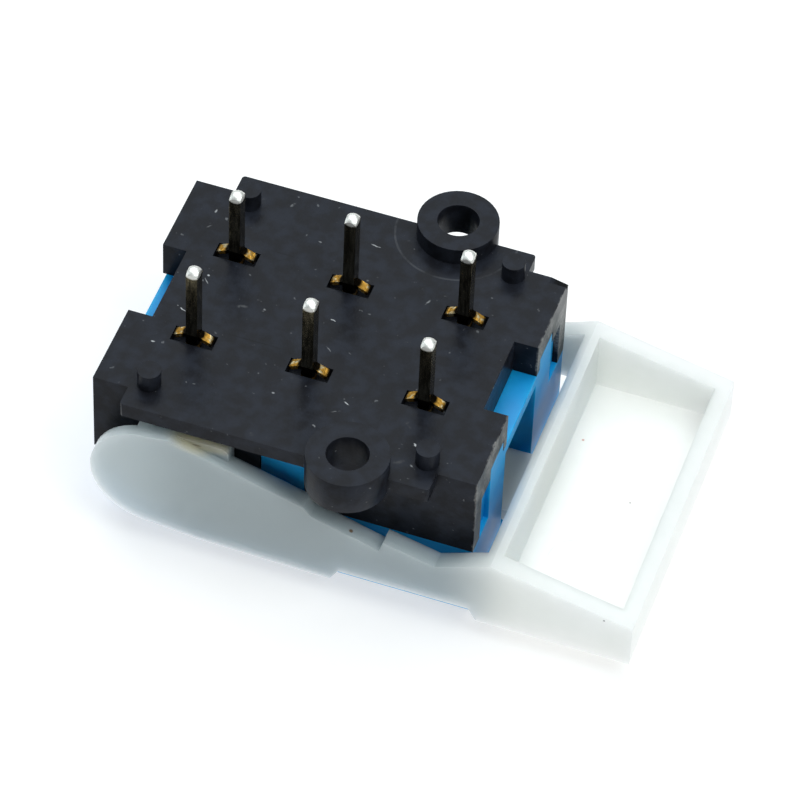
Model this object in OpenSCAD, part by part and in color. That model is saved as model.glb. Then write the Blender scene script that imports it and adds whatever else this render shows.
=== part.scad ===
// Telephone hook switch for a circuit board, lying on its back with the pins up.
// Heights are measured up from the top face of the terminal plate, lengths from the middle of the plate.
// The finished part is then set with the middle of its two screw bosses at the origin, and the board above.

/* [Terminal plate] */
// Length of the plate
body_l = 16.7; // [16:0.1:19]
// Width across the skirts and the housing
body_w = 12.1; // [11.6:0.1:14]
// Thickness of the plate
plate_t = 1.75; // [1.6:0.05:2]
// Thickness left at the plate's two ends, over the housing's rims
lip_t = 1.1; // [0.8:0.05:1.3]
// Depth of the skirts below the plate's top face
skirt_h = 4.2; // [4.05:0.05:4.4]
// Wall of the skirts
skirt_t = 0.85; // [0.7:0.05:1]
// Gap between the left and right skirts
skirt_gap = 2; // [1.6:0.1:2.6]
// Width of the notch in each end, and of the window below it
notch_w = 4; // [3.6:0.1:4.4]
// Depth of the notch in each end
notch_d = 1.07; // [0.9:0.01:1.2]
// Width of full plate left beside each notch
jamb_w = 0.45; // [0.3:0.05:0.7]
// Length of the side flanges
flange_l = 13.2; // [12.5:0.05:14]
// How far the side flanges stand out from the body
flange_out = 0.97; // [0.8:0.01:1.1]
// Thickness of the side flanges
flange_t = 0.73; // [0.65:0.01:0.8]
// Corner radius of the side flanges
flange_r = 0.15; // [0.1:0.05:0.5]
// How much further the near flange reaches, away from the paddle
near_reach = 0.2; // [0:0.05:0.4]
// Length of the dent in the plate's far right-hand corner
dent_l = 0.75; // [0.4:0.05:1]
// Width of that dent
dent_w = 0.35; // [0.2:0.05:0.5]
// Slope of that dent, in degrees
dent_slope = 14; // [5:1:20]

/* [Board mounting] */
// Distance of the screw bosses from the middle of the plate
boss_x = 3.1; // [2.8:0.1:3.4]
// Distance between the two screw bosses
boss_spacing = 14; // [13.6:0.1:14.6]
// Outer diameter of the screw bosses
boss_d = 3.5; // [3.2:0.1:3.8]
// Screw hole diameter
boss_hole_d = 1.8; // [1.5:0.1:2]
// How far the screw bosses reach below the plate's top face
boss_below = 0.8; // [0.7:0.05:0.95]
// Height of the bosses and standoff pegs that seat on the board
standoff_h = 0.85; // [0.6:0.05:1.1]
// Diameter of the standoff pegs
standoff_d = 1; // [0.8:0.1:1.1]
// Distance between the standoff pegs along the body
standoff_dx = 12.1; // [11.6:0.1:12.6]
// Distance between the standoff pegs across the body
standoff_dy = 11.12; // [10.6:0.02:11.4]
// How far the far left-hand peg is set in, which keys the part
peg_set_in = 0.28; // [0:0.02:0.5]

/* [Terminals] */
// Pin pitch, both ways
pitch = 5.08; // [4.9:0.02:5.2]
// Shift of the pin grid from the middle of the plate
pin_shift = -0.15; // [-0.3:0.05:0.1]
// Thickness of the terminal strip
strip_t = 0.5; // [0.4:0.05:0.55]
// Width of a pin
pin_w = 0.6; // [0.5:0.05:0.7]
// Heights of the common pins above the plate, near and far
common_pin_h = [4.2, 3.75]; // [3:0.05:4.5]
// Heights of the make pins above the plate, near and far
make_pin_h = [4.2, 4.25]; // [3:0.05:4.5]
// Heights of the break pins above the plate, near and far
break_pin_h = [3.8, 3.95]; // [3:0.05:4.5]
// Span of the two locking ears at the foot of a pin
ear_span = 1.66; // [1.4:0.02:1.9]
// Width of the locking ears
ear_w = 0.42; // [0.3:0.02:0.6]
// Thickness of the locking ears
ear_t = 0.2; // [0.12:0.02:0.24]
// Height of the locking ears above the plate, at the pin
ear_h = 0.42; // [0.3:0.02:0.5]
// Height of the locking ears above the plate, at their ends
ear_end_h = 0.14; // [0.05:0.01:0.2]
// Depth of the pockets under the ears
pocket_d = 0.5; // [0.3:0.05:0.7]
// Width of the strip below the plate
leg_w = 1.2; // [1:0.05:1.4]

/* [Housing] */
// Height of the housing's underside below the plate's top face
body_h = 7.94; // [7.6:0.02:8.6]
// How far the housing's left end is set back from the plate's
end_set_back = 0.15; // [0.05:0.05:0.25]
// Length of the chamfer under the housing's left end
chamfer_l = 1.55; // [0.8:0.05:1.8]
// Height of that chamfer
chamfer_h = 1.8; // [1:0.1:2.2]
// Wall of the housing's ends
end_wall = 1.1; // [1:0.05:1.2]
// Wall of the housing's sides beside the skirts
side_wall = 0.75; // [0.6:0.05:0.8]
// Thickness of the housing's floor
floor_t = 0.7; // [0.5:0.05:0.8]
// Thickness of the rims at the top of the end walls
rim_t = 0.45; // [0.35:0.05:0.6]
// Thickness of the bar over the window
lintel_h = 0.6; // [0.5:0.05:0.8]
// Width of the grooves between the end walls and the skirts
corner_w = 1.1; // [0.8:0.05:1.3]
// Depth of those grooves
corner_d = 0.22; // [0.1:0.02:0.4]

/* [Lever] */
// Distance of the lever's axle from the middle of the plate
axle_x = 5.42; // [5.2:0.02:5.6]
// Depth of the axle below the plate's top face
axle_z = 3.9; // [3.8:0.05:4.1]
// Diameter of the stub axles
axle_d = 1.8; // [1.4:0.1:2]
// Radius of the round ends of the arms
end_r = 2.63; // [2.5:0.01:2.7]
// Chamfer of the arms' round ends, on the side towards the body
end_chamfer = 0.28; // [0.15:0.01:0.4]
// Depth of the lever's underside below the axle
lever_drop = 3; // [2.9:0.05:3.1]
// Thickness of the arms and of the paddle's sides
arm_t = 0.83; // [0.7:0.01:1]
// Gap between the arms and the body
arm_gap = 0.42; // [0.35:0.01:0.6]
// Distance of the arms' sloping top edge from the axle
arm_rise = 2.88; // [2.8:0.01:2.95]
// Fall of the arms' top edge, in degrees
arm_slope = 16.5; // [15:0.5:18]
// Fall of the arms' underside beside the round end, in degrees
belly_slope = 6; // [4:0.5:8]
// Where that fall ends, from the axle
belly_x = 2.15; // [1.5:0.05:3]
// Depth of the relief in the arms under the screw bosses
relief_d = 0.32; // [0.2:0.02:0.5]
// Height of the shoulder beyond the relief, above the axle
shoulder_z = 0.19; // [0.1:0.01:0.3]
// Distance of the dip in the arms from the end of the body
dip_back = 1.23; // [1:0.01:1.4]
// Depth of the dip in the arms below the axle
dip_z = 0.37; // [0.2:0.01:0.5]
// Gap between the body's end and the cross wall
cross_gap = 0.8; // [0.7:0.05:1.2]
// Length of the paddle
paddle_l = 6.52; // [5.5:0.02:8]
// Height of the paddle's rim above the axle, at the cross wall
rim_high = 0.65; // [0.4:0.05:0.9]
// Depth of the paddle's rim below the axle, at the free end
rim_low = 0.79; // [0.5:0.01:1.1]
// Thickness of the paddle's cross wall and end wall
paddle_wall = 0.66; // [0.5:0.02:0.9]
// Thickness of the paddle's floor and of the tongue
paddle_floor = 0.62; // [0.5:0.02:0.7]
// Where the raised neck under the arms begins, from the axle
neck_start = 8.02; // [7.4:0.02:8.6]
// How far the neck is raised
neck_up = 0.6; // [0.4:0.05:0.7]
// Run of the slopes at both ends of the neck
neck_run = 0.34; // [0.2:0.02:0.5]
// How far the paddle's underside reaches back past the cross wall
heel_back = 0.16; // [0:0.02:0.3]
// Width of the tongue
tongue_w = 3.4; // [3:0.1:3.5]
// Gap between the tongue and the housing's floor
tongue_lift = 0.34; // [0.3:0.02:0.6]
// How far the press stop's top lies above the axle
stop_h = 2.7; // [2.4:0.01:2.72]
// Reach of the press stop beyond the axle, towards the paddle
stop_reach = 3.32; // [2.8:0.02:3.34]
// Reach of the press stop beyond the axle, away from the paddle
stop_back = 0.7; // [0.6:0.05:1]
// Depth of the press stop below the axle
stop_below = 1.5; // [1.2:0.05:2]
// Corner radius of the press stop
stop_r = 0.4; // [0.2:0.05:0.6]
// Diameter of the ejector mark in the paddle's floor
mark_d = 2.3; // [1.5:0.1:3]
// Depth of the ejector mark
mark_h = 0.05; // [0.02:0.01:0.1]
// Distance of the ejector mark from the cross wall
mark_x = 2.85; // [2:0.05:4]
// Distance of the ejector mark from the middle of the paddle
mark_y = 3.3; // [2:0.05:4]

/* [Contacts] */
// Distance of the push card from the middle of the plate
card_x = 2; // [1.9:0.05:2.1]
// Thickness of the push card
card_w = 0.8; // [0.6:0.05:0.9]
// Height of the push card's cross arm
card_arm_h = 0.4; // [0.3:0.05:0.5]
// Radius of the push card's nose on the tongue
card_nose_r = 0.6; // [0.4:0.05:0.7]
// Radius of the push card's fingers under the leaves
finger_r = 0.3; // [0.2:0.02:0.35]
// Thickness of the guides beside the push card
guide_t = 0.4; // [0.3:0.05:0.5]
// Depth of the guides' tops below the plate
guide_drop = 0.9; // [0.7:0.05:1.1]
// Distance of the contacts from the middle of the plate
contact_x = 3.5; // [3.4:0.05:3.6]
// Diameter of the contact heads
contact_d = 1.1; // [0.9:0.05:1.2]
// Height of the moving contact's heads
contact_h = 0.35; // [0.3:0.01:0.38]
// Height of the fixed contacts' heads
fixed_contact_h = 0.25; // [0.2:0.01:0.28]
// Diameter of the contacts' shanks
shank_d = 0.6; // [0.4:0.05:0.7]
// Thickness of the terminals' feet
foot_t = 0.4; // [0.3:0.05:0.5]
// Length of the common terminals' shelf under the leaves
shelf_l = 1.6; // [1.2:0.1:2]
// Thickness of the contact leaves
leaf_t = 0.2; // [0.15:0.01:0.25]
// Height of the leaves above the tongue
leaf_rise = 1.8; // [1.7:0.05:1.9]
// Wire of the return spring
spring_wire = 0.26; // [0.2:0.02:0.3]
// Outer diameter of the return spring
spring_d = 2.3; // [2:0.1:2.4]
// Turns of the return spring
spring_turns = 5; // [4:1:6]
// Height of the pip on the plate that centres the return spring
pip_h = 0.5; // [0.3:0.05:0.6]

/* [Hidden] */
$fn = 48;
// Clearances: of running fits, of closed contacts, of the pins' slots, and round the ears and the leaves
run_gap = 0.05;
contact_gap = 0.03;
slot_gap = 0.02;
ear_gap = 0.1;
leaf_gap = 0.12;
// Overlap of cuts, and how deep one form is sunk in the other of the same piece
cut = 1;
bite = 0.08;
// Spare length beyond a contact's head, and spare width beside the card's foot
head_margin = 0.2;
side_y = body_w / 2;
inner_y = side_y - skirt_t - run_gap;
cavity_y = inner_y - side_wall;
end_x = body_l / 2;
cavity_x = end_x - end_wall;
left_x = end_set_back - end_x;
wall_y = inner_y - corner_w;
rim_y = notch_w / 2 + jamb_w;
rim_top = -lip_t - run_gap;
flange_y = side_y + flange_out;
arm_y = side_y + arm_gap;
lever_y = arm_y + arm_t;
lever_z = -axle_z - lever_drop;
cross_x = end_x + cross_gap;
lever_x = cross_x + paddle_l;
paddle_top = lever_z + paddle_floor;
floor_top = -body_h + floor_t;
tongue_low = floor_top + tongue_lift;
tongue_top = tongue_low + paddle_floor;
window_top = -plate_t - lintel_h;
pin_y = pitch / 2;
common_x = pin_shift - pitch;
make_x = pin_shift;
break_x = pin_shift + pitch;
tip_r = norm([strip_t, pin_w]) / 2 + slot_gap;
boss_y = boss_spacing / 2;
leaf_z = tongue_top + leaf_rise;
leaf_x = common_x + strip_t / 2 + leaf_gap;
leaf_end = contact_x + contact_d / 2 + head_margin;
break_top = leaf_z - contact_h - contact_gap;
break_foot_top = break_top - fixed_contact_h;
card_foot_z = tongue_top + run_gap + card_nose_r;
finger_z = leaf_z - run_gap - finger_r;
card_top = finger_z + bite;
foot_y = tongue_w / 2 - head_margin;
guide_y = (pin_y + leg_w / 2 + cavity_y) / 2;
card_reach = (guide_y + cavity_y) / 2;

// The near or the far value of a pair; the near side is -1 and the far side is 1
function of_side(pair, side) = side < 0 ? pair[0] : pair[1];

// Sets the part with its board seat at height 0 and its two screw bosses on the Y axis
module seat() {
    translate([-boss_x, 0, -standoff_h]) children();
}

// A box given by its lowest and highest corners
module box(low, high) {
    translate(low) cube(high - low);
}

// Repeats what is drawn for the far side on the near side
module both_sides() {
    for (s = [0, 1]) mirror([0, s, 0]) children();
}

// Repeats what is drawn for the right end on the left end
module both_ends() {
    for (s = [0, 1]) mirror([s, 0, 0]) children();
}

// Carries an outline drawn in length and height across the width, from y0 to y1
module across(y0, y1) {
    translate([0, y1, 0]) rotate([90, 0, 0]) linear_extrude(y1 - y0) children();
}

// The lever's bearing, cut half from the skirts and half from the housing
module bearing_cut() {
    translate([-axle_x, 0, -axle_z]) rotate([90, 0, 0])
        cylinder(d = axle_d + 2 * run_gap, h = body_w + 2 * cut, center = true);
}

// Outline of a far flange that starts at x0, with its two outer corners rounded
module flange_outline(x0) {
    r = flange_r;
    length = flange_l / 2 - x0;
    translate([x0 + r, side_y - cut]) square([length - 2 * r, flange_out + cut]);
    translate([x0, side_y - cut]) square([length, flange_out + cut - r]);
    for (x = [x0 + r, flange_l / 2 - r]) translate([x, flange_y - r]) circle(r);
}

module standoff_pegs() {
    for (x = [-1, 1], y = [-1, 1]) {
        set_in = x < 0 && y > 0 ? peg_set_in : 0;
        translate([x * standoff_dx / 2 + set_in, y * standoff_dy / 2, -cut])
            cylinder(d = standoff_d, h = cut + standoff_h);
    }
}

// Slot for a pin through the plate, with a pocket for its ears
module pin_slot(x, y) {
    half_t = strip_t / 2 + slot_gap;
    half_w = pin_w / 2 + slot_gap;
    pocket_x = ear_span / 2 + ear_gap;
    pocket_y = pin_w / 2 + ear_gap;
    box([x - half_t, y - half_w, -plate_t - cut], [x + half_t, y + half_w, cut]);
    box([x - pocket_x, y - pocket_y, -pocket_d], [x + pocket_x, y + pocket_y, cut]);
}

module base() {
    color([0.13, 0.14, 0.15]) seat() difference() {
        union() {
            box([-end_x, -side_y, -plate_t], [end_x, side_y, 0]);
            both_ends() both_sides() box([skirt_gap / 2, side_y - skirt_t, -skirt_h], [end_x, side_y, 0]);
            translate([0, 0, -flange_t]) linear_extrude(flange_t) {
                flange_outline(-flange_l / 2);
                mirror([0, 1]) flange_outline(-flange_l / 2 - near_reach);
            }
            both_sides() translate([boss_x, boss_y, -boss_below])
                cylinder(d = boss_d, h = boss_below + standoff_h);
            standoff_pegs();
            translate([card_x, 0, -plate_t - pip_h])
                cylinder(d = spring_d - 3 * spring_wire, h = pip_h + bite);
        }
        both_sides() translate([boss_x, boss_y, -boss_below - cut])
            cylinder(d = boss_hole_d, h = boss_below + standoff_h + 2 * cut);
        both_ends() {
            box([end_x - notch_d, -notch_w / 2, -plate_t - cut], [end_x + cut, notch_w / 2, cut]);
            both_sides() box([end_x - rim_t - run_gap, rim_y - run_gap, -plate_t - cut],
                [end_x + cut, wall_y + run_gap, -lip_t]);
        }
        for (x = [common_x, make_x, break_x], y = [-pin_y, pin_y]) pin_slot(x, y);
        translate([end_x - dent_l, side_y - dent_w, 0]) rotate([0, dent_slope, 0]) cube(cut);
        bearing_cut();
    }
}

// Lengthwise section of the housing's outside, up to the given height
module housing_outline(top) {
    polygon([[left_x, top], [left_x, chamfer_h - body_h], [left_x + chamfer_l, -body_h],
        [end_x, -body_h], [end_x, top]]);
}

// Lengthwise section of the housing's inside, with the same chamfer
module cavity_outline() {
    polygon([[-cavity_x, cut], [-cavity_x, floor_top + chamfer_h], [chamfer_l - cavity_x, floor_top],
        [cavity_x, floor_top], [cavity_x, cut]]);
}

// Upright guides on the housing's side walls, either side of the push card
module card_guides() {
    for (s = [-1, 1]) {
        x = card_x + s * (card_w / 2 + run_gap + guide_t / 2);
        both_sides() box([x - guide_t / 2, guide_y, floor_top - bite],
            [x + guide_t / 2, cavity_y + bite, -plate_t - guide_drop]);
    }
}

module housing() {
    color([0.05, 0.45, 0.8]) seat() difference() {
        union() {
            difference() {
                union() {
                    across(-side_y, side_y) housing_outline(-skirt_h);
                    across(-inner_y, inner_y) housing_outline(-plate_t);
                    both_sides() {
                        box([run_gap - skirt_gap / 2, 0, -body_h],
                            [skirt_gap / 2 - run_gap, side_y, -plate_t]);
                        box([end_x - rim_t, rim_y, -body_h], [end_x, wall_y, rim_top]);
                        box([left_x, rim_y, chamfer_h - body_h], [rim_t - end_x, wall_y, rim_top]);
                    }
                }
                across(-cavity_y, cavity_y) cavity_outline();
            }
            card_guides();
        }
        both_sides() {
            box([end_x - corner_d, wall_y, -skirt_h], [end_x + cut, inner_y + cut, cut]);
            box([-end_x - cut, wall_y, -skirt_h], [left_x + corner_d, inner_y + cut, cut]);
        }
        box([cavity_x - cut, -notch_w / 2, tongue_low - run_gap], [end_x + cut, notch_w / 2, window_top]);
        bearing_cut();
    }
}

// Side outline of the lever in length and height, with the axle at its origin
module lever_outline() {
    boss_start = axle_x + boss_x - boss_d / 2;
    boss_end = axle_x + boss_x + boss_d / 2;
    heel = axle_x + cross_x - heel_back;
    tip = axle_x + lever_x;
    crown = arm_rise * [sin(arm_slope), cos(arm_slope)];
    belly = end_r * [-sin(belly_slope), -cos(belly_slope)];
    function slope_at(u) = crown[1] - (u - crown[0]) * tan(arm_slope);
    circle(end_r);
    polygon([
        [0, 0],
        [0, end_r],
        crown,
        [boss_start, slope_at(boss_start)],
        [boss_start + relief_d, slope_at(boss_start + relief_d) - relief_d],
        [boss_end - relief_d / 2, slope_at(boss_end) - relief_d],
        [boss_end, shoulder_z],
        [axle_x + end_x - dip_back, -dip_z],
        [axle_x + cross_x + paddle_wall / 2, rim_high],
        [tip, -rim_low],
        [tip, -lever_drop],
        [heel, -lever_drop],
        [heel - neck_run, neck_up - lever_drop],
        [neck_start + neck_run, neck_up - lever_drop],
        [neck_start, -lever_drop],
        [belly_x, belly[1] - (belly_x - belly[0]) * tan(belly_slope)],
        belly]);
}

// Pad on the inner face of an arm round its axle; its raised corner is the press stop
module stop_outline() {
    r = stop_r;
    length = stop_reach + stop_back;
    height = stop_h + stop_below;
    translate([r - stop_back, -stop_below]) square([length - 2 * r, height]);
    translate([-stop_back, r - stop_below]) square([length, height - 2 * r]);
    for (x = [r - stop_back, stop_reach - r], z = [r - stop_below, stop_h - r])
        translate([x, z]) circle(r);
}

// Cut that chamfers the inner edge of the far arm's round end, with the axle at its origin
module end_cut() {
    depth = end_chamfer + bite;
    intersection() {
        translate([0, arm_y - bite, 0]) rotate([-90, 0, 0]) difference() {
            cylinder(r = end_r + cut, h = depth + bite);
            cylinder(r1 = end_r - depth, r2 = end_r + bite, h = depth + bite);
        }
        box([-end_r - 2 * cut, 0, -end_r - 2 * cut], [-stop_back, lever_y, end_r + 2 * cut]);
    }
}

// Arms, cross wall and tray, cut from one side outline
module lever_frame() {
    low = lever_z - cut;
    intersection() {
        translate([-axle_x, 0, -axle_z]) across(-lever_y, lever_y) lever_outline();
        union() {
            both_sides() box([-axle_x - end_r - cut, arm_y, low], [lever_x + cut, lever_y, 0]);
            box([cross_x, -lever_y, low], [cross_x + paddle_wall, lever_y, 0]);
            box([lever_x - paddle_wall, -lever_y, low], [lever_x + cut, lever_y, 0]);
            box([cross_x - heel_back, -lever_y, low], [lever_x, lever_y, paddle_top]);
        }
    }
}

// Tongue that reaches in through the window, with its root in the cross wall
module tongue() {
    half = tongue_w / 2;
    root = cross_x + paddle_wall / 2;
    box([card_x - card_w, -half, tongue_low], [root, half, tongue_top]);
    box([cross_x, -half, min(tongue_low, lever_z)], [root, half, max(tongue_top, paddle_top)]);
}

module lever() {
    crest_x = arm_rise * sin(arm_slope);
    stub_y = inner_y + 3 * run_gap;
    root_y = arm_y + arm_t / 2;
    color([0.88, 0.92, 0.91]) seat() difference() {
        union() {
            difference() {
                lever_frame();
                both_sides() translate([-axle_x, 0, -axle_z]) end_cut();
            }
            tongue();
            both_sides() translate([-axle_x, 0, -axle_z]) {
                across(side_y + run_gap, arm_y + bite) stop_outline();
                across(arm_y, root_y) intersection() {
                    stop_outline();
                    translate([crest_x, 0]) square([stop_reach, stop_h]);
                }
                translate([0, stub_y, 0]) rotate([-90, 0, 0]) cylinder(d = axle_d, h = root_y - stub_y);
            }
        }
        translate([cross_x + mark_x, -mark_y, paddle_top - mark_h]) cylinder(d = mark_d, h = cut);
    }
}

// Stamped pin with a domed tip and two ears bent out over the plate
module pin(x, y, height) {
    half_t = strip_t / 2;
    half_w = pin_w / 2;
    end = ear_span / 2;
    translate([x, y, 0]) {
        intersection() {
            box([-half_t, -half_w, -plate_t], [half_t, half_w, height + cut]);
            union() {
                box([-cut, -cut, -plate_t], [cut, cut, height - tip_r]);
                translate([0, 0, height - tip_r]) sphere(tip_r);
            }
        }
        both_ends() across(-ear_w / 2, ear_w / 2) polygon([[0, ear_h], [half_t, ear_h], [end, ear_end_h],
            [end, ear_end_h - ear_t], [half_t, ear_h - ear_t], [0, ear_h - ear_t]]);
    }
}

// Strip below the plate, from the pin down to a foot that runs from x0 to x1
module leg(x, y, x0, x1, foot_top) {
    y0 = y - leg_w / 2;
    y1 = y + leg_w / 2;
    box([x - strip_t / 2, y0, foot_top - foot_t], [x + strip_t / 2, y1, -plate_t]);
    box([x0, y0, foot_top - foot_t], [x1, y1, foot_top]);
}

module shank_hole(x, y, z, h) {
    translate([x, y, z - cut]) cylinder(d = shank_d, h = h + 2 * cut);
}

module common_terminal(side) {
    y = side * pin_y;
    color([0.72, 0.63, 0.42]) seat() {
        pin(common_x, y, of_side(common_pin_h, side));
        leg(common_x, y, common_x - strip_t / 2, leaf_x + shelf_l, leaf_z);
    }
}

module make_terminal(side) {
    y = side * pin_y;
    color([0.72, 0.63, 0.42]) seat() {
        pin(make_x, y, of_side(make_pin_h, side));
        difference() {
            leg(make_x, y, make_x - strip_t / 2, contact_x + contact_d / 2, -plate_t);
            shank_hole(contact_x, y, -plate_t - foot_t, foot_t);
        }
    }
}

module break_terminal(side) {
    y = side * pin_y;
    color([0.72, 0.63, 0.42]) seat() {
        pin(break_x, y, of_side(break_pin_h, side));
        difference() {
            leg(break_x, y, contact_x - contact_d / 2, break_x + strip_t / 2, break_foot_top);
            shank_hole(contact_x, y, break_foot_top - foot_t, foot_t);
        }
    }
}

module contact_leaf(side) {
    y = side * pin_y;
    color([0.8, 0.66, 0.38]) seat() difference() {
        box([leaf_x, y - leg_w / 2, leaf_z], [leaf_end, y + leg_w / 2, leaf_z + leaf_t]);
        shank_hole(contact_x, y, leaf_z, leaf_t);
    }
}

// Double-headed rivet through the leaf
module leaf_contact(side) {
    color([0.83, 0.83, 0.8]) seat() translate([contact_x, side * pin_y, leaf_z]) {
        translate([0, 0, -contact_h]) cylinder(d = contact_d, h = contact_h);
        cylinder(d = shank_d, h = leaf_t);
        translate([0, 0, leaf_t]) cylinder(d = contact_d, h = contact_h);
    }
}

// Headed contact with its shank in a foot; it hangs from the make foot and stands on the break foot
module make_contact(side) {
    color([0.83, 0.83, 0.8]) seat() translate([contact_x, side * pin_y, -plate_t - foot_t]) {
        translate([0, 0, -fixed_contact_h]) cylinder(d = contact_d, h = fixed_contact_h);
        cylinder(d = shank_d, h = foot_t);
    }
}

module break_contact(side) {
    color([0.83, 0.83, 0.8]) seat() translate([contact_x, side * pin_y, break_foot_top]) {
        cylinder(d = contact_d, h = fixed_contact_h);
        translate([0, 0, -foot_t]) cylinder(d = shank_d, h = foot_t);
    }
}

// Card with a round nose on the tongue, a finger under each leaf and a pip for the spring
module push_card() {
    half = card_w / 2;
    color([0.9, 0.9, 0.86]) seat() translate([card_x, 0, 0]) {
        translate([0, 0, card_foot_z]) rotate([90, 0, 0])
            cylinder(r = card_nose_r, h = 2 * foot_y, center = true);
        box([-half, -foot_y, card_foot_z], [half, foot_y, card_top]);
        box([-half, -card_reach, card_top - card_arm_h], [half, card_reach, card_top]);
        both_sides() translate([0, pin_y, finger_z]) rotate([90, 0, 0])
            cylinder(r = finger_r, h = leg_w, center = true);
        translate([0, 0, card_top]) cylinder(d = spring_d / 2, h = pip_h / 2);
    }
}

// Round-wire helix, swept as one skin with flat ends
module helix(radius, wire, turns, z0, z1) {
    turn_steps = 16;
    steps = turn_steps * turns;
    sides = 8;
    rings = [for (i = [0 : steps]) let (a = 360 * i / turn_steps, z = z0 + (z1 - z0) * i / steps)
        [for (j = [0 : sides - 1]) let (b = 360 * j / sides, r = radius + wire / 2 * cos(b))
            [r * cos(a), r * sin(a), z + wire / 2 * sin(b)]]];
    points = [for (ring = rings) each ring];
    walls = [for (i = [0 : steps - 1], j = [0 : sides - 1]) let (k = (j + 1) % sides)
        [i * sides + j, i * sides + k, (i + 1) * sides + k, (i + 1) * sides + j]];
    first = [for (j = [sides - 1 : -1 : 0]) j];
    last = [for (j = [0 : sides - 1]) steps * sides + j];
    polyhedron(points, concat(walls, [first, last]));
}

module return_spring() {
    half = spring_wire / 2;
    color([0.75, 0.76, 0.78]) seat() translate([card_x, 0, 0])
        helix(spring_d / 2 - half, spring_wire, spring_turns, card_top + half, -plate_t - half);
}

module common_terminal_a() { common_terminal(-1); }
module common_terminal_b() { common_terminal(1); }
module make_terminal_a() { make_terminal(-1); }
module make_terminal_b() { make_terminal(1); }
module break_terminal_a() { break_terminal(-1); }
module break_terminal_b() { break_terminal(1); }
module contact_leaf_a() { contact_leaf(-1); }
module contact_leaf_b() { contact_leaf(1); }
module leaf_contact_a() { leaf_contact(-1); }
module leaf_contact_b() { leaf_contact(1); }
module make_contact_a() { make_contact(-1); }
module make_contact_b() { make_contact(1); }
module break_contact_a() { break_contact(-1); }
module break_contact_b() { break_contact(1); }

base();
housing();
lever();
common_terminal_a();
common_terminal_b();
make_terminal_a();
make_terminal_b();
break_terminal_a();
break_terminal_b();
contact_leaf_a();
contact_leaf_b();
leaf_contact_a();
leaf_contact_b();
make_contact_a();
make_contact_b();
break_contact_a();
break_contact_b();
push_card();
return_spring();
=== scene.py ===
"""Looks of a telephone hook switch: moulded base, housing and lever, terminals, contacts and spring."""

import math

import bpy
import numpy as np
from mathutils import Matrix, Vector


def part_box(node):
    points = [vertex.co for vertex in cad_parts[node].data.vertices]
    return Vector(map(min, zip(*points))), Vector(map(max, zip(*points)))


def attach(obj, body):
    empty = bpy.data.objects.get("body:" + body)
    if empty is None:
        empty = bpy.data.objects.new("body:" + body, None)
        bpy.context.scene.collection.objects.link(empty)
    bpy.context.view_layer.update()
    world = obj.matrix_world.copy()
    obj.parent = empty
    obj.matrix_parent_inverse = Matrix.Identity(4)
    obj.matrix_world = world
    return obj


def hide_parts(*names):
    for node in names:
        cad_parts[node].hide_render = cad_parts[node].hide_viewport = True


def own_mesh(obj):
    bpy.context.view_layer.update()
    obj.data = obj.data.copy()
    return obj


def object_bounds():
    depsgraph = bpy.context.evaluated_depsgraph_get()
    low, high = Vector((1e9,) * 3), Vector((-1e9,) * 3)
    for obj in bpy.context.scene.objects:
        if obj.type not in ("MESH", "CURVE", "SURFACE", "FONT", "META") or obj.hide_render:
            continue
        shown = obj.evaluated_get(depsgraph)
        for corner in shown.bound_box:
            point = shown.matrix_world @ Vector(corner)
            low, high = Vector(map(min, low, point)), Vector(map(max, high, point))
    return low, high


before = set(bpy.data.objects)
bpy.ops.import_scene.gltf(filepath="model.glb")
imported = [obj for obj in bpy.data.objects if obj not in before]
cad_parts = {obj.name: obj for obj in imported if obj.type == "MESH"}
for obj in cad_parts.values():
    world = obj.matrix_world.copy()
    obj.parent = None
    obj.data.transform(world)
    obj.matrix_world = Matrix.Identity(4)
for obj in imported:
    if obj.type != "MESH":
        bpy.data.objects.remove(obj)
cad_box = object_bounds()

# Base: the plate that carries the pins, with skirts, side flanges, screw bosses and standoff pegs.
# Black glass-filled polyester, moulded in one shot from a lightly worn tool, so its faces are satin and
# slightly mottled; the plate carries pale hairline scuffs, faint flow lines and the seam of a tool insert.
MM = 0.001
EDGE_ANGLE = math.radians(30)
EDGE_SEGMENTS = 3
FLAT_ANGLE = math.radians(0.3)
WELD_MM = 0.002
BASE_EDGE_MM = 0.05
BLACK = "#191a1f"
BLACK_BLOOM = "#24272f"
SCUFF = "#b4b6b8"
FLECK = "#77797c"
DARK_LINE = "#0b0b0c"
# A pale grey laid on the paddle end: partly chalky grain, partly painted reflection of the bright lever.
CHALK_AND_GLARE = "#a09e9a"
BASE_ROUGHNESS = (0.28, 0.37)
BASE_GLOSS = 0.08
MOTTLE_MM = 0.7
FLECK_MM = 0.3
WANDER_MM = 0.3
# The tool's grain, drawn coarser than the real one, which is too fine to show.
GRAIN_MM = 0.12
GRAIN_DEPTH_MM = 0.02
GRAIN_STRENGTH = 0.3
# The noise values between which a pattern comes in, from none to all of it.
NOISE_SPAN = (0.3, 0.7)
BLOOM_SPAN = (0.35, 0.68)
FLECK_SPAN = (0.70, 0.76)
WORN_SPAN = (0.35, 0.6)
# The least and the greatest share of a tone that is laid over the black.
FLECK_SHARES = (0.0, 0.5)
SEAM_SHARES = (0.02, 0.16)
CHALK_AND_GLARE_SHARES = (0.25, 0.65)
# How far the mottle breaks up the chalk and painted reflection, and the sums of the two between which they
# come in.
GLARE_BREAK = 1.8
GLARE_SPAN = (1.25, 1.85)
PLATE_TOP_MM = -0.85
MARK_DEPTH_MM = 0.06
MARK_CORE = 0.4
INSERT_MIDDLE_MM = (0.0, 7.0, PLATE_TOP_MM)
INSERT_RADIUS_MM = 2.66
SEAM_HALF_MM = 0.045
# The inputs of a colour Mix node, by number.
FACTOR, FIRST, SECOND = 0, 6, 7
RGBA = {"data_type": "RGBA"}
SMOOTH = {"interpolation_type": "SMOOTHSTEP"}
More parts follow.
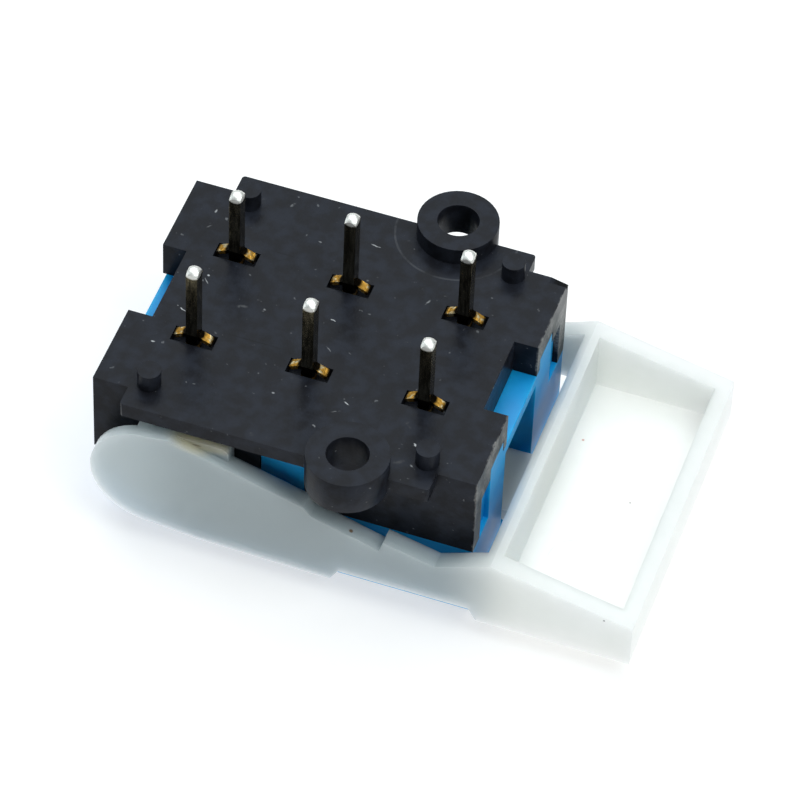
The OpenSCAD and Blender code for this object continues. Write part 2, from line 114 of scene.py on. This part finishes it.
# Each mark on the plate: its middle in X and Y, length and width in mm, turn in degrees, and strength.
SCUFFS = [
    (-9.42, -1.13, 0.65, 0.08, -24, 1.0), (-8.99, 0.69, 0.48, 0.06, -54, 0.5),
    (-9.05, 1.03, 0.16, 0.12, 0, 0.9), (-10.04, 4.64, 0.28, 0.12, 80, 0.6),
    (-9.86, -3.29, 0.2, 0.12, 10, 0.8), (-7.11, 6.14, 0.42, 0.16, 55, 0.25),
    (-5.3, 4.51, 0.24, 0.1, -10, 0.4), (-7.09, -0.15, 0.6, 0.25, 15, 0.12),
    (-2.85, -1.17, 0.55, 0.06, -37, 0.35), (-6.12, 0.0, 0.15, 0.12, 0, 0.35),
    (-4.21, -4.24, 0.18, 0.12, 0, 0.5), (4.21, -0.76, 0.14, 0.12, 0, 0.5),
    (-3.3, 0.44, 0.4, 0.09, -8, 0.8), (-1.2, -3.7, 0.34, 0.08, -27, 0.9),
    (-3.0, 5.14, 0.66, 0.07, -12, 0.7), (2.18, -4.87, 0.3, 0.12, -45, 1.0),
    (2.4, -6.0, 0.42, 0.12, -34, 0.5), (-2.05, -5.36, 0.28, 0.1, -40, 0.5),
    (0.06, 2.81, 0.5, 0.12, 70, 0.4), (-1.45, -4.29, 0.5, 0.06, 28, 0.3),
    (-10.0, 3.69, 0.4, 0.08, 48, 0.2),
]
FLOW_LINES = [(-5.98, -1.82, 3.5, 0.08, 0, 0.5), (-6.5, 3.3, 1.6, 0.08, 0, 0.45)]
# Marks of the paddle end: middle, size in mm, turn in degrees, and strength. They are the dented far corner,
# painted darker; a pale patch on the far skirt's end, partly rough chalky grain and partly painted
# reflection of the bright lever; and a pale painted reflection all over the end.
DENT = ((4.95, 5.95, -1.0), (1.0, 0.6, 0.7), 0, 0.9)
CHALK_AND_GLARE_MARKS = [((5.25, 5.2, -2.9), (1.2, 1.9, 4.0), 0, 1.0), ((5.3, 0.0, -2.6), (0.4, 30.0, 16.0), 0, 0.65)]


def colour(code):
    """An sRGB hex code as linear red, green, blue and alpha, by the standard's own curve."""
    srgb = [int(code[i:i + 2], 16) / 255 for i in (1, 3, 5)]
    return tuple(c / 12.92 if c <= 0.04045 else ((c + 0.055) / 1.055) ** 2.4 for c in srgb) + (1.0,)


def per_mm(size):
    """The texture scale at which one cell of a pattern measures size millimetres."""
    return 1 / (size * MM)


def add_node(tree, kind, inputs=(), **settings):
    """Adds a node with its settings, links or sets its inputs, and gives its first output that is in use.

    The inputs are a list in the node's own order, or a dict by name or number.
    """
    node = tree.nodes.new(kind)
    for name, value in settings.items():
        setattr(node, name, value)
    sources = inputs if isinstance(inputs, dict) else dict(enumerate(inputs))
    for socket, source in sources.items():
        if isinstance(source, bpy.types.NodeSocket):
            tree.links.new(source, node.inputs[socket])
        else:
            node.inputs[socket].default_value = source
    return next((output for output in node.outputs if output.enabled), None)


def new_material(name):
    """An empty node material; gives it with its node tree and its Object coordinates."""
    material = bpy.data.materials.new(name)
    material.use_nodes = True
    material.node_tree.nodes.clear()
    place = add_node(material.node_tree, "ShaderNodeTexCoord").node.outputs["Object"]
    return material, material.node_tree, place


def dress(names, material, edge_mm):
    """Gives CAD nodes their material, and rounds their sharp edges with live modifiers."""
    for name in names:
        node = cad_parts[name]
        node.data.materials.clear()
        node.data.materials.append(material)
        weld = node.modifiers.new("weld", "WELD")
        weld.merge_threshold = WELD_MM * MM
        flat = node.modifiers.new("flat", "DECIMATE")
        flat.decimate_type = "DISSOLVE"
        flat.angle_limit = FLAT_ANGLE
        bevel = node.modifiers.new("edge", "BEVEL")
        bevel.width = edge_mm * MM
        bevel.segments = EDGE_SEGMENTS
        bevel.limit_method = "ANGLE"
        bevel.angle_limit = EDGE_ANGLE
        bevel.harden_normals = True


def marks(tree, place, table):
    """How strongly a point is marked: the strongest of some ellipsoids, each fading out past its core."""
    strongest = 0.0
    for middle, size, turn, strength in table:
        lie = {
            "Vector": place,
            "Location": tuple(c * MM for c in middle),
            "Rotation": (0, 0, math.radians(turn)),
            "Scale": tuple(c / 2 * MM for c in size),
        }
        local = add_node(tree, "ShaderNodeMapping", lie, vector_type="TEXTURE")
        away = add_node(tree, "ShaderNodeVectorMath", [local], operation="LENGTH")
        mark = add_node(tree, "ShaderNodeMapRange", [away, MARK_CORE, 1.0, strength, 0.0], **SMOOTH)
        strongest = add_node(tree, "ShaderNodeMath", [mark, strongest], operation="MAXIMUM")
    return strongest


def on_plate(table):
    """The marks of a table as flat ellipsoids on the plate's top."""
    return [((x, y, PLATE_TOP_MM), (length, width, MARK_DEPTH_MM), turn, strength)
            for x, y, length, width, turn, strength in table]


def black_polyester():
    """Black glass-filled polyester: satin and mottled, with scuffs, flecks, dark lines, a seam, and chalk
    with painted reflection on the end.
    """
    material, tree, place = new_material("moulded_black_polyester")
    mottle, grain, specks, drift = (
        add_node(tree, "ShaderNodeTexNoise", {"Vector": place, "Scale": per_mm(size), "Detail": detail})
        for size, detail in ((MOTTLE_MM, 4.0), (GRAIN_MM, 2.0), (FLECK_MM, 3.0), (WANDER_MM, 2.0)))
    bloom = add_node(tree, "ShaderNodeMapRange", [mottle, *BLOOM_SPAN], **SMOOTH)
    # Dark flow lines, and the dented far corner painted darker.
    dark = marks(tree, place, on_plate(FLOW_LINES) + [DENT])
    flecks = add_node(tree, "ShaderNodeMapRange", [specks, *FLECK_SPAN, *FLECK_SHARES], **SMOOTH)

    insert = tuple(c * MM for c in INSERT_MIDDLE_MM)
    reach = add_node(tree, "ShaderNodeVectorMath", [place, insert], operation="DISTANCE")
    ring = [reach, INSERT_RADIUS_MM * MM, SEAM_HALF_MM * MM]
    seam = add_node(tree, "ShaderNodeMath", ring, operation="COMPARE")
    worn = add_node(tree, "ShaderNodeMapRange", [mottle, *WORN_SPAN, *SEAM_SHARES], **SMOOTH)
    faint = add_node(tree, "ShaderNodeMath", [seam, worn], operation="MULTIPLY")

    push = WANDER_MM / 2 * MM
    wander = [drift.node.outputs["Color"], (push,) * 3, place]
    pushed = add_node(tree, "ShaderNodeVectorMath", wander, operation="MULTIPLY_ADD")
    ragged = add_node(tree, "ShaderNodeVectorMath", [pushed, (push / 2,) * 3], operation="SUBTRACT")
    scuffs = marks(tree, ragged, on_plate(SCUFFS))
    # The paddle end is painted pale: partly chalky grain and partly painted reflection of the bright lever.
    chalk_and_glare = marks(tree, ragged, CHALK_AND_GLARE_MARKS)
    uneven = add_node(tree, "ShaderNodeMath", [mottle, GLARE_BREAK, chalk_and_glare], operation="MULTIPLY_ADD")
    broken = add_node(tree, "ShaderNodeMapRange", [uneven, *GLARE_SPAN], **SMOOTH)
    crumbs = add_node(tree, "ShaderNodeMapRange", [grain, *NOISE_SPAN, *CHALK_AND_GLARE_SHARES], **SMOOTH)
    chalk_and_painted_glare = add_node(tree, "ShaderNodeMath", [crumbs, broken], operation="MULTIPLY")

    tone = colour(BLACK)
    layers = [
        (bloom, BLACK_BLOOM), (dark, DARK_LINE), (flecks, FLECK),
        (faint, FLECK), (scuffs, SCUFF), (chalk_and_painted_glare, CHALK_AND_GLARE),
    ]
    for share, code in layers:
        tone = add_node(tree, "ShaderNodeMix", {FACTOR: share, FIRST: tone, SECOND: colour(code)}, **RGBA)
    bumps = {"Height": grain, "Strength": GRAIN_STRENGTH, "Distance": GRAIN_DEPTH_MM * MM}
    finish = {
        "Base Color": tone,
        "Roughness": add_node(tree, "ShaderNodeMapRange", [mottle, *NOISE_SPAN, *BASE_ROUGHNESS], **SMOOTH),
        "Normal": add_node(tree, "ShaderNodeBump", bumps),
        "Specular IOR Level": BASE_GLOSS,
    }
    shader = add_node(tree, "ShaderNodeBsdfPrincipled", finish)
    add_node(tree, "ShaderNodeOutputMaterial", {"Surface": shader})
    return material


dress(["base"], black_polyester(), BASE_EDGE_MM)

# Terminals: six strips stamped from brass, with a tinned pin, two bent locking ears and a foot below.
# The tin on the pin is a dark olive, partly tarnish and partly painted shade for the dark plate it reflects;
# its tip is painted white as a highlight. The sheared ears are bare, lumpy brass, painted dark close to the
# pin as the shade of the pocket round its foot.
TERMINALS = [f"{kind}_terminal_{pole}" for kind in ("common", "make", "break") for pole in "ab"]
PIN_X_MM = {"common": -8.33, "make": -3.25, "break": 1.83}
PIN_Y_MM = 2.54
PIN_EDGE_MM = 0.06
# Tones of the strip: bare brass; a dark tone painted round the pin's foot as shade; olive tin, partly
# tarnish and partly painted shade; the tip's painted white highlight.
BRASS = "#e8b04e"
BRASS_PALE = "#f6e3b4"
FOOT_SHADE = "#140f08"
OLIVE = "#665f4b"
OLIVE_LIGHT = "#a1967a"
TIP_HIGHLIGHT_WHITE = "#fbfaf5"
# The heights of the middle of the painted foot shade and of the ears' top, and the step over which the tin
# comes in.
FOOT_MM = -0.62
EAR_TOP_MM = -0.42
TIN_STEP_MM = 0.06
# How far the painted tip highlight, the painted foot shade and the bare ears reach, and at how many times
# that they have faded.
TIP_REACH_MM = 0.42
TIP_FADE = 1.2
FOOT_SHADE_REACH_MM = 0.44
FOOT_SHADE_FADE = 1.25
EAR_REACH_MM = 0.72
EAR_FADE = 1.15
EAR_END_SHARE = 0.15
LUMP_MM = 0.22
LUMP_DEPTH_MM = 0.06
EAR_LUMPS = 0.7
PIN_LUMPS = 0.08
PALE_SPAN = (0.5, 0.62)
# The lines of the rolled strip, drawn coarser than the real ones so that they show.
ROLLING_MM = 0.1
ROLLING_STRETCH = 6
ROLLING_SPAN = (0.35, 0.65)
EAR_ROUGHNESS = 0.42
PIN_ROUGHNESS = 0.22
TIP_ROUGHNESS = 0.5
# The first and the second number of a plain Mix node, among its inputs.
FIRST_NUMBER, SECOND_NUMBER = 2, 3
FAR_AWAY = 1.0


def nearest(tree, place, spots):
    """The distance from a point to the nearest of some spots."""
    closest = FAR_AWAY
    for spot in spots:
        away = add_node(tree, "ShaderNodeVectorMath", [place, spot], operation="DISTANCE")
        closest = add_node(tree, "ShaderNodeMath", [away, closest], operation="MINIMUM")
    return closest


def tinned_brass():
    """Tinned brass strip: olive tin in rolled lines, partly painted shade, a painted white highlight on the
    tip, and bare brass ears with painted shade round the foot.
    """
    material, tree, place = new_material("tinned_brass_strip")
    tips, feet = [], []
    for name in TERMINALS:
        low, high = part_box(name)
        x = PIN_X_MM[name.split("_")[0]] * MM
        y = math.copysign(PIN_Y_MM * MM, low.y + high.y)
        tips.append((x, y, high.z))
        feet.append((x, y, FOOT_MM * MM))

    stretch = (per_mm(ROLLING_MM), per_mm(ROLLING_MM), per_mm(ROLLING_STRETCH * ROLLING_MM))
    rolled = add_node(tree, "ShaderNodeMapping", {"Vector": place, "Scale": stretch})
    lines = add_node(tree, "ShaderNodeTexNoise", {"Vector": rolled, "Scale": 1.0, "Detail": 2.0})
    streak = add_node(tree, "ShaderNodeMapRange", [lines, *ROLLING_SPAN], **SMOOTH)
    # The olive tin is partly tarnish and partly painted shade for the dark plate it reflects.
    olive = {FACTOR: streak, FIRST: colour(OLIVE), SECOND: colour(OLIVE_LIGHT)}
    tarnish_and_shade = add_node(tree, "ShaderNodeMix", olive, **RGBA)
    # The tip is painted white as a highlight.
    tip_end = [nearest(tree, place, tips), TIP_REACH_MM * MM, TIP_FADE * TIP_REACH_MM * MM, 1.0, 0.0]
    tip_highlight = add_node(tree, "ShaderNodeMapRange", tip_end, **SMOOTH)
    pin = add_node(tree, "ShaderNodeMix", {FACTOR: tip_highlight, FIRST: tarnish_and_shade, SECOND: colour(TIP_HIGHLIGHT_WHITE)}, **RGBA)

    lumps = add_node(tree, "ShaderNodeTexNoise", {"Vector": place, "Scale": per_mm(LUMP_MM), "Detail": 2.0})
    pale = add_node(tree, "ShaderNodeMapRange", [lumps, *PALE_SPAN], **SMOOTH)
    sheared = {FACTOR: pale, FIRST: colour(BRASS), SECOND: colour(BRASS_PALE)}
    bare = add_node(tree, "ShaderNodeMix", sheared, **RGBA)
    # Near the foot the ears are painted dark as the shade of the pocket round the pin.
    out = nearest(tree, place, feet)
    foot_end = [out, FOOT_SHADE_REACH_MM * MM, FOOT_SHADE_FADE * FOOT_SHADE_REACH_MM * MM]
    past_foot_shade = add_node(tree, "ShaderNodeMapRange", foot_end, **SMOOTH)
    ear_end = [out, EAR_REACH_MM * MM, EAR_FADE * EAR_REACH_MM * MM, 1.0, EAR_END_SHARE]
    on_ear = add_node(tree, "ShaderNodeMapRange", ear_end, **SMOOTH)
    clear = add_node(tree, "ShaderNodeMath", [past_foot_shade, on_ear], operation="MULTIPLY")
    ear = add_node(tree, "ShaderNodeMix", {FACTOR: clear, FIRST: colour(FOOT_SHADE), SECOND: bare}, **RGBA)

    height = add_node(tree, "ShaderNodeSeparateXYZ", [place]).node.outputs["Z"]
    tin_start = [height, EAR_TOP_MM * MM, (EAR_TOP_MM + TIN_STEP_MM) * MM]
    tinned = add_node(tree, "ShaderNodeMapRange", tin_start, **SMOOTH)
    tin_rough = add_node(tree, "ShaderNodeMapRange", [tip_highlight, 0.0, 1.0, PIN_ROUGHNESS, TIP_ROUGHNESS])
    roughness = {FACTOR: tinned, FIRST_NUMBER: EAR_ROUGHNESS, SECOND_NUMBER: tin_rough}
    hammered = add_node(tree, "ShaderNodeMapRange", [tinned, 0.0, 1.0, EAR_LUMPS, PIN_LUMPS])
    bumps = {"Height": lumps, "Strength": hammered, "Distance": LUMP_DEPTH_MM * MM}
    finish = {
        "Base Color": add_node(tree, "ShaderNodeMix", {FACTOR: tinned, FIRST: ear, SECOND: pin}, **RGBA),
        "Metallic": 1.0,
        "Roughness": add_node(tree, "ShaderNodeMix", roughness),
        "Normal": add_node(tree, "ShaderNodeBump", bumps),
    }
    shader = add_node(tree, "ShaderNodeBsdfPrincipled", finish)
    add_node(tree, "ShaderNodeOutputMaterial", {"Surface": shader})
    return material


dress(TERMINALS, tinned_brass(), PIN_EDGE_MM)

# Contact leaves: two flat springs blanked from phosphor bronze sheet, welded to the common terminals.
# Rolled sheet keeps fine lines along its length and a warm, fairly bright lustre.
LEAVES = ["contact_leaf_a", "contact_leaf_b"]
SHEET_EDGE_MM = 0.03
BRONZE = "#c98f52"
BRONZE_LIGHT = "#dfae74"
DRAWN_STRETCH = 12


def rolled_metal(name, dark, light, lines_mm, roughness):
    """Bare rolled or drawn metal: two close tones in fine lines along X, and a roughness that follows."""
    material, tree, place = new_material(name)
    stretch = (per_mm(DRAWN_STRETCH * lines_mm), per_mm(lines_mm), per_mm(lines_mm))
    drawn = add_node(tree, "ShaderNodeMapping", {"Vector": place, "Scale": stretch})
    lines = add_node(tree, "ShaderNodeTexNoise", {"Vector": drawn, "Scale": 1.0, "Detail": 3.0})
    streak = add_node(tree, "ShaderNodeMapRange", [lines, *NOISE_SPAN], **SMOOTH)
    tones = {FACTOR: streak, FIRST: colour(dark), SECOND: colour(light)}
    finish = {
        "Base Color": add_node(tree, "ShaderNodeMix", tones, **RGBA),
        "Metallic": 1.0,
        "Roughness": add_node(tree, "ShaderNodeMapRange", [streak, 0.0, 1.0, *roughness]),
    }
    shader = add_node(tree, "ShaderNodeBsdfPrincipled", finish)
    add_node(tree, "ShaderNodeOutputMaterial", {"Surface": shader})
    return material


bronze = rolled_metal("rolled_phosphor_bronze", BRONZE, BRONZE_LIGHT, lines_mm=0.05, roughness=(0.29, 0.43))
dress(LEAVES, bronze, SHEET_EDGE_MM)

# Contacts: rivets of fine silver, two moving ones with a head on each side and four fixed ones.
# Headed cold, so their faces are smooth and bright, a little dulled by tarnish.
CONTACTS = [f"{kind}_contact_{pole}" for kind in ("leaf", "make", "break") for pole in "ab"]
CONTACT_EDGE_MM = 0.08
SILVER = "#cfcdc6"
SILVER_LIGHT = "#efeeea"
silver = rolled_metal("headed_fine_silver", SILVER, SILVER_LIGHT, lines_mm=0.12, roughness=(0.13, 0.27))
dress(CONTACTS, silver, CONTACT_EDGE_MM)

# Push card: the moulded slider that carries the tongue's lift to the two leaves.
# Unfilled white acetal, smooth and slightly waxy.
CARD_EDGE_MM = 0.06
CARD_SHADE = "#dcdad0"
CARD_LIGHT = "#ecebe3"
PLASTIC_IOR = 1.5
SKIN_STRENGTH = 0.12
SPECK_STRENGTH = 0.9


def moulded_plastic(name, shade, light, flow_mm, roughness, gloss, soft, soft_mm, painted_fades=(), specks=()):
    """Unpainted moulded plastic: two tones that drift with the flow, painted shade and light that fade along
    X, specks and spots of painted shade, and depth.
    """
    material, tree, place = new_material(name)
    flow = add_node(tree, "ShaderNodeTexNoise", {"Vector": place, "Scale": per_mm(flow_mm), "Detail": 3.0})
    skin = add_node(tree, "ShaderNodeTexNoise", {"Vector": place, "Scale": per_mm(GRAIN_MM), "Detail": 2.0})
    drift = add_node(tree, "ShaderNodeMapRange", [flow, *NOISE_SPAN], **SMOOTH)
    layers = [(drift, light)]
    # Painted shade and light that fade along X.
    for full_mm, gone_mm, code in painted_fades:
        along = add_node(tree, "ShaderNodeSeparateXYZ", [place]).node.outputs["X"]
        reach = [along, full_mm * MM, gone_mm * MM, 1.0, 0.0]
        layers.append((add_node(tree, "ShaderNodeMapRange", reach, **SMOOTH), code))
    # Specks, and spots of painted shade.
    for middle, size, code in specks:
        layers.append((marks(tree, place, [(middle, size, 0, SPECK_STRENGTH)]), code))
    tone = colour(shade)
    for share, code in layers:
        tone = add_node(tree, "ShaderNodeMix", {FACTOR: share, FIRST: tone, SECOND: colour(code)}, **RGBA)
    bumps = {"Height": skin, "Strength": SKIN_STRENGTH, "Distance": GRAIN_DEPTH_MM * MM}
    finish = {
        "Base Color": tone,
        "Roughness": add_node(tree, "ShaderNodeMapRange", [drift, 0.0, 1.0, *roughness]),
        "Normal": add_node(tree, "ShaderNodeBump", bumps),
        "IOR": PLASTIC_IOR,
        "Specular IOR Level": gloss,
        "Subsurface Weight": soft,
        "Subsurface Radius": (1.0, 1.0, 1.0),
        "Subsurface Scale": soft_mm * MM,
    }
    shader = add_node(tree, "ShaderNodeBsdfPrincipled", finish)
    add_node(tree, "ShaderNodeOutputMaterial", {"Surface": shader})
    return material


white_acetal = moulded_plastic("moulded_white_acetal", CARD_SHADE, CARD_LIGHT, flow_mm=1.5,
                               roughness=(0.36, 0.46), gloss=0.4, soft=0.3, soft_mm=0.6)
dress(["push_card"], white_acetal, CARD_EDGE_MM)

# Return spring: a coil of round spring steel wire between the base and the push card.
# It shortens as the card rises in the real switch; here the coil is one swept wire, built at the length of
# the CAD spring.
SPRING_TURNS = 5
SPRING_WIRE_MM = 0.26
SPRING_OUTER_MM = 2.3
WIRE_SIDES = 14
TURN_STEPS = 40
STEEL = "#8d9095"
STEEL_LIGHT = "#c3c6ca"


def mesh_piece(name, points, faces, material, body):
    """Makes a piece of the given points and faces, smooth, that rides on a CAD body."""
    mesh = bpy.data.meshes.new(name)
    mesh.from_pydata(points.reshape(-1, 3).tolist(), [], faces)
    mesh.polygons.foreach_set("use_smooth", np.ones(len(mesh.polygons), bool))
    mesh.materials.append(material)
    piece = bpy.data.objects.new(name, mesh)
    bpy.context.scene.collection.objects.link(piece)
    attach(piece, body)
    return piece


def grid_faces(rows, columns):
    """Quads of a tube: rows of rings, each ring closed on itself, with a cap on both ends."""
    row, column = np.meshgrid(np.arange(rows - 1), np.arange(columns), indexing="ij")
    following = (column + 1) % columns
    corners = [row * columns + column, row * columns + following]
    corners += [(row + 1) * columns + following, (row + 1) * columns + column]
    quads = np.stack(corners, axis=-1).reshape(-1, 4).tolist()
    first = list(range(columns))[::-1]
    last = [(rows - 1) * columns + i for i in range(columns)]
    return quads + [first, last]


def coil(middle, radius, wire, turns, low, high):
    """A helix of radius about middle from height low to high, with the wire's round section along it."""
    along, around = np.meshgrid(np.linspace(0, 1, turns * TURN_STEPS + 1),
                                np.linspace(0, 2 * np.pi, WIRE_SIDES, endpoint=False), indexing="ij")
    turn = 2 * np.pi * turns * along
    reach = radius + wire * np.cos(around)
    rise = low + (high - low) * along + wire * np.sin(around)
    return np.stack([middle[0] + reach * np.cos(turn), middle[1] + reach * np.sin(turn), rise], axis=-1)


spring_low, spring_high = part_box("return_spring")
spring_middle = (spring_low + spring_high) / 2
wire_radius = SPRING_WIRE_MM / 2 * MM
coil_points = coil(spring_middle, SPRING_OUTER_MM / 2 * MM - wire_radius, wire_radius, SPRING_TURNS,
                   spring_low.z + wire_radius, spring_high.z - wire_radius)
coil_faces = grid_faces(SPRING_TURNS * TURN_STEPS + 1, WIRE_SIDES)
spring_steel = rolled_metal("drawn_spring_steel", STEEL, STEEL_LIGHT, lines_mm=0.05, roughness=(0.29, 0.43))
coil_spring = mesh_piece("coil_spring", coil_points, coil_faces, spring_steel, "body")
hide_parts("return_spring")
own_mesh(coil_spring)

# Housing: the box under the base, with a window in its paddle end, snapped over the base from below.
# Bright blue polypropylene, moulded smooth, so it is glossier than the base and a little translucent.
HOUSING_EDGE_MM = 0.07
BLUE = "#0b92d4"
BLUE_LIGHT = "#119add"
polypropylene = moulded_plastic("moulded_blue_polypropylene", BLUE, BLUE_LIGHT, flow_mm=2.0,
                                roughness=(0.36, 0.46), gloss=0.3, soft=0.4, soft_mm=1.2)
dress(["housing"], polypropylene, HOUSING_EDGE_MM)

# Lever: two arms on stub axles, a cross wall and a tray-like paddle, moulded as one piece.
# Natural acetal: milky and translucent, so its thin walls glow. The arms are painted greyer than the paddle,
# as the shade of the dark body behind them, and their left end is painted lighter for the side light; the
# lug is painted darker and warmer as the shade of the flange above it; it has a brown speck on the near arm
# and small dark ones.
LEVER_EDGE_MM = 0.1
MILK = "#f1f3ec"
MILK_LIGHT = "#f8f9f3"
# Painted shade and light along X: the arms greyer for the dark body behind them, their left end lighter for
# the side light. Where along X a tone is full and where it is gone, in mm, and the tone.
PAINTED_ARM_FADES = [(4.0, 8.0, "#a5b0b3"), (-10.5, -6.0, "#c4d0d3")]
# The place, the size in mm and the tone of each spot: first the lug's painted shade under the flange, then
# specks.
LUG_SHADE_AND_SPECKS = [
    # Painted shade: the lug under the flange, darker and warmer.
    ((-6.3, -6.85, -2.1), (3.8, 1.6, 1.0), "#c4bfa6"),
    ((0.27, -7.01, -4.7), (0.24, 0.24, 0.24), "#6b4a22"),
    ((7.18, 3.22, -7.13), (0.16, 0.16, 0.16), "#c99a8a"),
    ((10.11, 0.56, -7.13), (0.12, 0.12, 0.12), "#8d8478"),
    ((11.34, -7.3, -5.44), (0.12, 0.12, 0.12), "#6f6c66"),
    ((-6.55, -6.88, -2.25), (0.5, 0.2, 0.12), "#8c8064"),
]
acetal = moulded_plastic("moulded_natural_acetal", MILK, MILK_LIGHT, flow_mm=3.0, roughness=(0.29, 0.39),
                         gloss=0.5, soft=0.9, soft_mm=3.0, painted_fades=PAINTED_ARM_FADES, specks=LUG_SHADE_AND_SPECKS)
dress(["lever"], acetal, LEVER_EDGE_MM)

# Studio: a white light table with a matt diffuser top, a dim surround, one broad soft light above and
# behind, and two weaker ones at the left and at the front.
FLOOR_SIZE = 1.6
FLOOR_GLOW = "#fbfbfb"
FLOOR_GLOW_SHADE = "#f6f7f7"
FLOOR_GLOW_STRENGTH = 0.65
FLOOR_GREY = "#b2b2b2"
FLOOR_ROUGHNESS = 0.9
TOOTH_MM = 0.5
SURROUND = "#e4eef2"
SURROUND_STRENGTH = 0.14
# Each light: its name, place and width in metres, power in watts, and tint.
LIGHTS = [
    ("softbox", (-0.10, 0.20, 0.45), 0.5, 2.4, "#f1f8fb"),
    ("side_light", (-0.45, -0.08, 0.16), 0.25, 0.35, "#eaf5fa"),
    ("front_light", (0.26, -0.10, 0.44), 0.3, 1.65, "#f4fafb"),
]

rest_z = cad_box[0][2]
floor_mesh = bpy.data.meshes.new("floor")
half = FLOOR_SIZE / 2
floor_corners = [(-half, -half, rest_z), (half, -half, rest_z), (half, half, rest_z), (-half, half, rest_z)]
floor_mesh.from_pydata(floor_corners, [], [(0, 1, 2, 3)])
floor = bpy.data.objects.new("floor", floor_mesh)
bpy.context.scene.collection.objects.link(floor)
diffuser, floor_tree, floor_place = new_material("matt_acrylic_diffuser")
tooth = add_node(floor_tree, "ShaderNodeTexNoise", {"Vector": floor_place, "Scale": per_mm(TOOTH_MM)})
floor_tones = {FACTOR: tooth, FIRST: colour(FLOOR_GLOW_SHADE), SECOND: colour(FLOOR_GLOW)}
floor_finish = {
    "Base Color": colour(FLOOR_GREY),
    "Roughness": FLOOR_ROUGHNESS,
    "Emission Color": add_node(floor_tree, "ShaderNodeMix", floor_tones, **RGBA),
    "Emission Strength": FLOOR_GLOW_STRENGTH,
}
floor_shader = add_node(floor_tree, "ShaderNodeBsdfPrincipled", floor_finish)
add_node(floor_tree, "ShaderNodeOutputMaterial", {"Surface": floor_shader})
floor_mesh.materials.append(diffuser)

world = bpy.data.worlds.new("dim_surround")
world.use_nodes = True
background = world.node_tree.nodes["Background"]
background.inputs["Color"].default_value = colour(SURROUND)
background.inputs["Strength"].default_value = SURROUND_STRENGTH
bpy.context.scene.world = world

for name, spot, size, watts, tint in LIGHTS:
    light = bpy.data.lights.new(name, "AREA")
    light.shape = "SQUARE"
    light.size = size
    light.energy = watts
    light.color = colour(tint)[:3]
    lamp = bpy.data.objects.new(name, light)
    lamp.location = spot
    lamp.rotation_euler = (-lamp.location).to_track_quat("-Z", "Y").to_euler()
    bpy.context.scene.collection.objects.link(lamp)
bpy.context.scene.view_settings.view_transform = "Standard"

# Camera: a long lens from the paddle's right, above the near long side.
# Its place, its turn in degrees and its lens were fitted to the photo on the grid of the pins.
VIEW_PLACE_MM = (41.315, -134.101, 152.639)
VIEW_AZIMUTH = 17.144
VIEW_ELEVATION = 48.156
VIEW_ROLL = 2.694
LENS_MM = 225.62
SENSOR_MM = 36.0
CLIP_START_MM = 10

azimuth, elevation, roll = (math.radians(a) for a in (VIEW_AZIMUTH, VIEW_ELEVATION, VIEW_ROLL))
lean = Matrix.Rotation(math.pi / 2 - elevation, 4, "X") @ Matrix.Rotation(roll, 4, "Z")
turn = Matrix.Rotation(azimuth, 4, "Z") @ lean
lens = bpy.data.cameras.new("camera")
lens.lens = LENS_MM
lens.sensor_width = SENSOR_MM
lens.sensor_fit = "HORIZONTAL"
lens.clip_start = CLIP_START_MM * MM
camera = bpy.data.objects.new("camera", lens)
camera.matrix_world = Matrix.Translation([c * MM for c in VIEW_PLACE_MM]) @ turn
bpy.context.scene.collection.objects.link(camera)
bpy.context.scene.camera = camera
